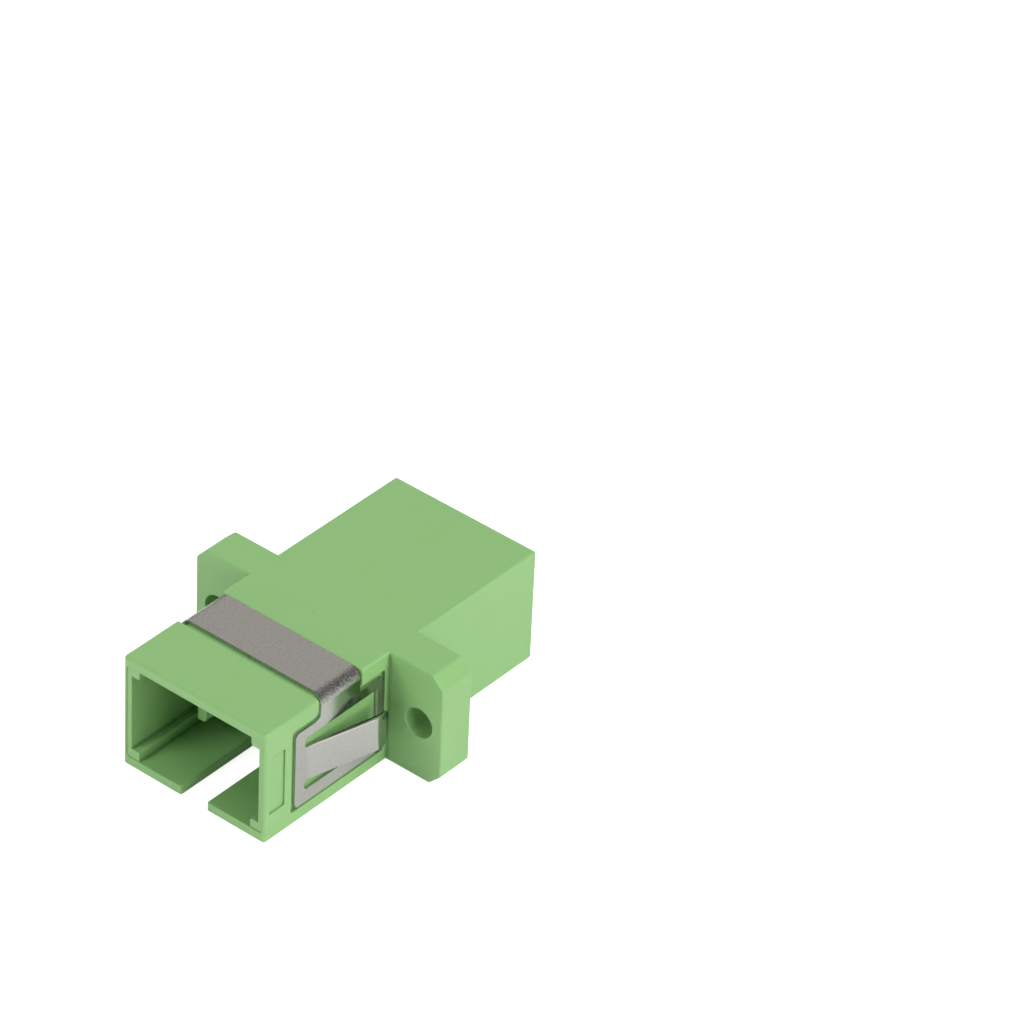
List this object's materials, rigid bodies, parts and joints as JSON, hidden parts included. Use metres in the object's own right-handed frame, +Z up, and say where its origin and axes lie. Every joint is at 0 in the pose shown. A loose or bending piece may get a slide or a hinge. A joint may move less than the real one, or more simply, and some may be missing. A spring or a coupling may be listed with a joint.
{
  "type": "sc fibre adapter",
  "caption": "Flanged push-pull fibre adapter with a keyed port at each end, sprung latch arms, a floating split sleeve and a folded panel clip.",
  "frame": {"origin": "on the ferrule axis, at the middle of the flange's front face, halfway between the two screw holes", "axes": "+Z up, with the key slots at the bottom; +Y along the ferrule axis from the clip end to the rear; +X to the right when looking into the clip-side port"},
  "size_m": [0.022, 0.0274, 0.0093],
  "materials": {
    "green_plastic": "moulded, satin",
    "green_plastic_inner": "moulded, satin",
    "spring_steel": "rolled, satin",
    "zirconia": "polished white ceramic"
  },
  "bodies": {
    "adapter_body": {"housing": "green_plastic", "mounting_clip": "spring_steel", "front_latch_holder": "green_plastic_inner", "rear_latch_holder": "green_plastic_inner"},
    "floating_sleeve": {"alignment_sleeve": "zirconia"}
  },
  "joints": [
    {"name": "sleeve_float", "type": "slide", "parent": "adapter_body", "child": "floating_sleeve", "axis": [0, 1, 0], "range_m": [-0.00015, 0.00015]}
  ]
}
